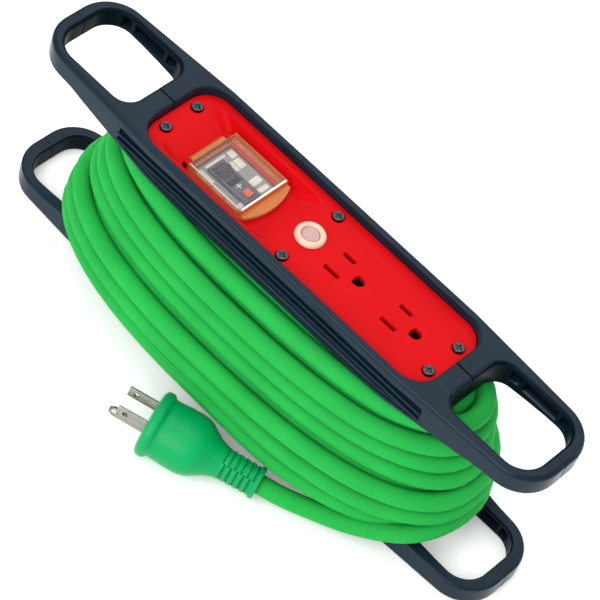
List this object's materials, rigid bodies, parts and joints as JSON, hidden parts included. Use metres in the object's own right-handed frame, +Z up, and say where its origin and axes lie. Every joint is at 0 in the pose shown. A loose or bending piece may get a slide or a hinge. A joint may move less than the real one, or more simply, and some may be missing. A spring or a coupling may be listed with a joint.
{
  "type": "hand-wound extension cord",
  "caption": "Heavy green extension cord wound on a two-plate frame with hand grips, with grounded outlets, a leakage breaker under a clear cover and a moulded plug.",
  "frame": {"origin": "centre of the resting face of the lower plate", "axes": "+X along the frame towards the grip beside the outlets, +Y across it away from the plug, +Z up out of the outlet panel"},
  "size_m": [0.324, 0.1527, 0.108],
  "materials": {
    "frame": "satin moulded slate grey",
    "steel": "zinc plated",
    "panel": "semi-gloss red",
    "breaker": "satin",
    "label": "printed plate, blank fields",
    "lever": "satin",
    "button": "semi-gloss",
    "cover": "clear moulded cover with an amber tint",
    "lens": "translucent cream",
    "diffuser": "translucent",
    "ivory": "moulded",
    "neon": "glass",
    "outlet": "moulded",
    "brass": "plain",
    "wire_black": "insulation",
    "wire_white": "insulation",
    "wire_green": "insulation",
    "gland": "matte",
    "clamp": "moulded",
    "cord": "soft green jacket",
    "plug": "fine matte moulding",
    "blade": "nickel plated"
  },
  "bodies": {
    "reel": {"frame_half_front": "frame", "frame_half_rear": "frame", "frame_screws": "steel", "outlet_panel": "panel", "panel_screws": "steel", "breaker_body": "breaker", "breaker_housing": "breaker", "breaker_label_plate": "label", "lever_pin": "steel", "test_button_spring": "steel", "breaker_terminal_screws": "brass", "cover_hinge_pin": "steel", "pilot_lens": "lens", "pilot_diffuser": "diffuser", "pilot_nut": "ivory", "neon_lamp": "neon", "outlet_body": "outlet", "outlet_back_plate": "ivory", "outlet_screws": "steel", "back_plate_screws": "steel", "neutral_contacts": "brass", "hot_contacts": "brass", "ground_contacts": "brass", "supply_wire_hot": "wire_black", "supply_wire_neutral": "wire_white", "earth_wire": "wire_green", "load_wire_hot": "wire_black", "load_wire_neutral": "wire_white", "cord_gland": "gland", "cord_clamp": "clamp", "cord_clamp_screws": "steel", "cord_inner_end": "cord", "cord_winding": "cord", "cord_tail": "cord", "plug_body": "plug", "plug_strain_relief": "plug", "plug_blade_hot": "blade", "plug_blade_neutral": "blade", "plug_ground_pin": "blade"},
    "cover": {"breaker_cover": "cover"},
    "lever": {"breaker_lever": "lever"},
    "button": {"test_button": "button"}
  },
  "joints": [
    {"name": "cover_hinge", "type": "hinge", "parent": "reel", "child": "cover", "pos_m": [-0.0674, 0, 0.098], "axis": [0, -1, 0], "range_deg": [0, 100]},
    {"name": "lever_pivot", "type": "hinge", "parent": "reel", "child": "lever", "pos_m": [-0.052, -0.0015, 0.092], "axis": [0, 1, 0], "range_deg": [0, 52]},
    {"name": "test_press", "type": "slide", "parent": "reel", "child": "button", "axis": [0, 0, -1], "range_m": [0, 0.0012], "stiffness_N_per_m": 300, "springref_m": -0.001, "deforming": ["test_button_spring"]}
  ]
}
